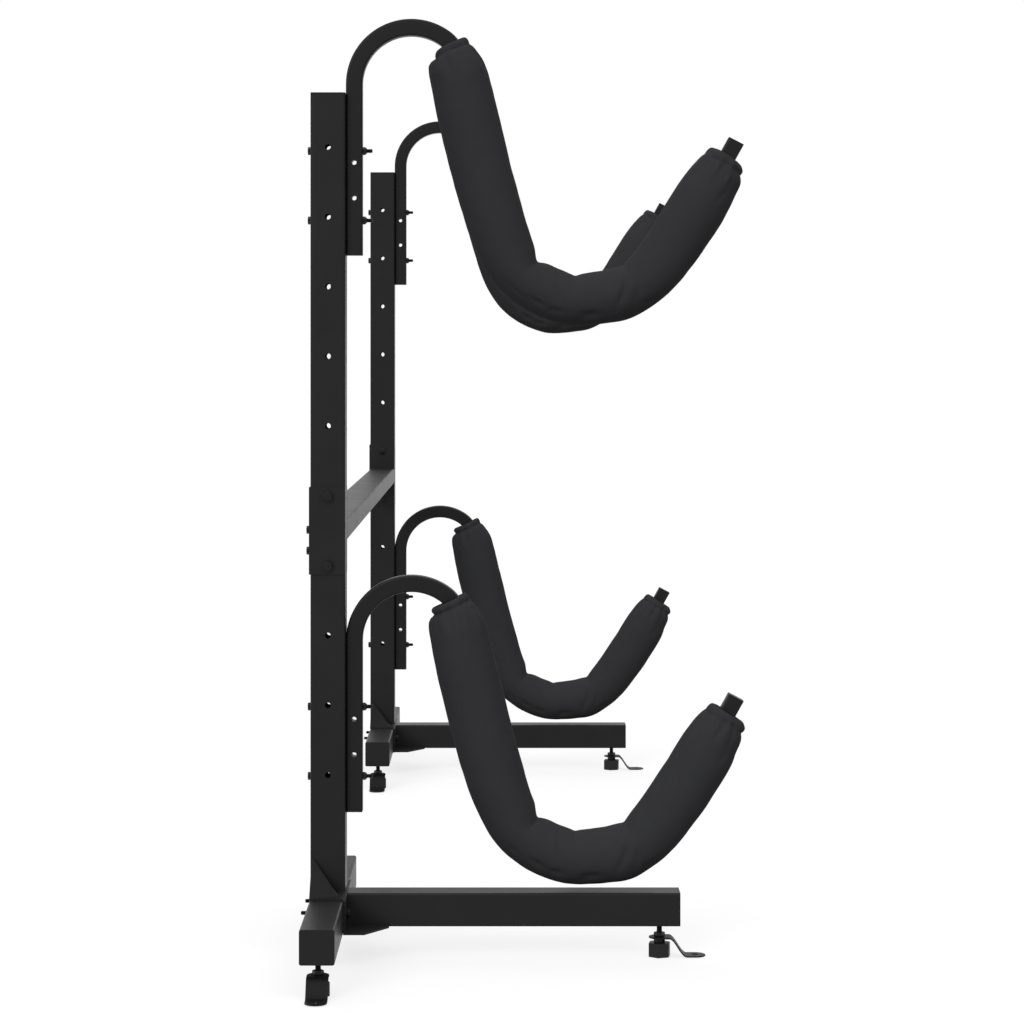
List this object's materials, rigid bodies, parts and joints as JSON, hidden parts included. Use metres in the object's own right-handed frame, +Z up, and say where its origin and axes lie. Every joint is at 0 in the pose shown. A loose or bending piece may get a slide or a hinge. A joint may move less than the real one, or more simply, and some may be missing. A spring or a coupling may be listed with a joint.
{
  "type": "freestanding kayak rack",
  "caption": "Two upright frames on tee-shaped feet, joined by a crossbar, carry padded J-shaped arms that cradle kayaks on their side, on levelling feet with anchor tabs.",
  "frame": {"origin": "on the floor, below the middle of the whole rack", "axes": "+X along the crossbar, from the left frame to the right one, +Y towards the open side of the arms where a boat is laid in, +Z up"},
  "size_m": [2.492, 0.6346, 1.349],
  "materials": {
    "tube_coat": "satin powder coat, fine texture",
    "cap_plastic": "moulded, lightly grained",
    "pad_fabric": "tight woven polyester over foam",
    "bolt_steel": "black zinc",
    "tab_steel": "zinc plated, dull",
    "foot_plastic": "hard moulded plastic"
  },
  "bodies": {
    "frame": {"right_post": "tube_coat", "right_post_cap": "cap_plastic", "right_post_foot": "tube_coat", "right_base_tube": "tube_coat", "right_base_caps": "cap_plastic", "right_leg": "tube_coat", "right_leg_flange": "tube_coat", "right_leg_bolts": "bolt_steel", "right_bar_bracket": "tube_coat", "right_bar_bolts": "bolt_steel", "right_foot_nuts": "bolt_steel", "left_post": "tube_coat", "left_post_cap": "cap_plastic", "left_post_foot": "tube_coat", "left_base_tube": "tube_coat", "left_base_caps": "cap_plastic", "left_leg": "tube_coat", "left_leg_flange": "tube_coat", "left_leg_bolts": "bolt_steel", "left_bar_bracket": "tube_coat", "left_bar_bolts": "bolt_steel", "left_foot_nuts": "bolt_steel", "crossbar_middle": "tube_coat", "crossbar_right": "tube_coat", "crossbar_left": "tube_coat", "crossbar_sleeves": "bolt_steel", "upper_right_arm": "tube_coat", "upper_right_arm_caps": "cap_plastic", "upper_right_pad": "pad_fabric", "upper_right_arm_bolts": "bolt_steel", "upper_left_arm": "tube_coat", "upper_left_arm_caps": "cap_plastic", "upper_left_pad": "pad_fabric", "upper_left_arm_bolts": "bolt_steel", "lower_right_arm": "tube_coat", "lower_right_arm_caps": "cap_plastic", "lower_right_pad": "pad_fabric", "lower_right_arm_bolts": "bolt_steel", "lower_left_arm": "tube_coat", "lower_left_arm_caps": "cap_plastic", "lower_left_pad": "pad_fabric", "lower_left_arm_bolts": "bolt_steel"},
    "right_front_leveller": {"right_front_foot": "foot_plastic", "right_front_stem": "bolt_steel"},
    "right_front_anchor": {"right_front_tab": "tab_steel"},
    "right_outer_leveller": {"right_outer_foot": "foot_plastic", "right_outer_stem": "bolt_steel"},
    "right_outer_anchor": {"right_outer_tab": "tab_steel"},
    "right_inner_leveller": {"right_inner_foot": "foot_plastic", "right_inner_stem": "bolt_steel"},
    "right_inner_anchor": {"right_inner_tab": "tab_steel"},
    "left_front_leveller": {"left_front_foot": "foot_plastic", "left_front_stem": "bolt_steel"},
    "left_front_anchor": {"left_front_tab": "tab_steel"},
    "left_outer_leveller": {"left_outer_foot": "foot_plastic", "left_outer_stem": "bolt_steel"},
    "left_outer_anchor": {"left_outer_tab": "tab_steel"},
    "left_inner_leveller": {"left_inner_foot": "foot_plastic", "left_inner_stem": "bolt_steel"},
    "left_inner_anchor": {"left_inner_tab": "tab_steel"}
  },
  "joints": [
    {"name": "right_front_height", "type": "slide", "parent": "frame", "child": "right_front_leveller", "axis": [0, 0, 1], "range_m": [-0.015, 0]},
    {"name": "right_front_swivel", "type": "hinge", "parent": "right_front_leveller", "child": "right_front_anchor", "pos_m": [0.925, 0.19566, 0], "axis": [0, 0, 1], "continuous": true},
    {"name": "right_outer_height", "type": "slide", "parent": "frame", "child": "right_outer_leveller", "axis": [0, 0, 1], "range_m": [-0.015, 0]},
    {"name": "right_outer_swivel", "type": "hinge", "parent": "right_outer_leveller", "child": "right_outer_anchor", "pos_m": [1.181, -0.27934, 0], "axis": [0, 0, 1], "continuous": true},
    {"name": "right_inner_height", "type": "slide", "parent": "frame", "child": "right_inner_leveller", "axis": [0, 0, 1], "range_m": [-0.015, 0]},
    {"name": "right_inner_swivel", "type": "hinge", "parent": "right_inner_leveller", "child": "right_inner_anchor", "pos_m": [0.669, -0.27934, 0], "axis": [0, 0, 1], "continuous": true},
    {"name": "left_front_height", "type": "slide", "parent": "frame", "child": "left_front_leveller", "axis": [0, 0, 1], "range_m": [-0.015, 0]},
    {"name": "left_front_swivel", "type": "hinge", "parent": "left_front_leveller", "child": "left_front_anchor", "pos_m": [-0.925, 0.19566, 0], "axis": [0, 0, 1], "continuous": true},
    {"name": "left_outer_height", "type": "slide", "parent": "frame", "child": "left_outer_leveller", "axis": [0, 0, 1], "range_m": [-0.015, 0]},
    {"name": "left_outer_swivel", "type": "hinge", "parent": "left_outer_leveller", "child": "left_outer_anchor", "pos_m": [-1.181, -0.27934, 0], "axis": [0, 0, 1], "continuous": true},
    {"name": "left_inner_height", "type": "slide", "parent": "frame", "child": "left_inner_leveller", "axis": [0, 0, 1], "range_m": [-0.015, 0]},
    {"name": "left_inner_swivel", "type": "hinge", "parent": "left_inner_leveller", "child": "left_inner_anchor", "pos_m": [-0.669, -0.27934, 0], "axis": [0, 0, 1], "continuous": true}
  ]
}
